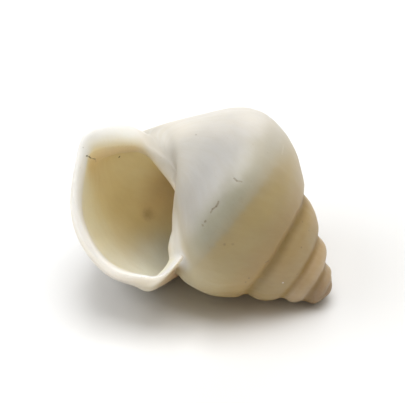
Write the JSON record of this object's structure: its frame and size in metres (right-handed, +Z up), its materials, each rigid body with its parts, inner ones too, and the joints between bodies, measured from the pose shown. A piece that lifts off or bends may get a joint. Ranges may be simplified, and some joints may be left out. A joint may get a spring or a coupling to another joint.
{
  "type": "freshwater snail shell",
  "caption": "Empty right-handed snail shell with deep sutures, a blunt worn tip and a wide mouth with a thick rounded lip, lying on its back.",
  "frame": {"origin": "middle of the bounding box, on the surface the shell lies on", "axes": "+Z up as it lies at rest; +X along the shell towards the tip of its spire, the longest side; the mouth opens upwards and towards -Y"},
  "size_m": [0.043, 0.0372, 0.0306],
  "materials": {
    "worn_shell": "satin, worn smooth"
  },
  "bodies": {
    "root": {"shell": "worn_shell"}
  },
  "joints": []
}
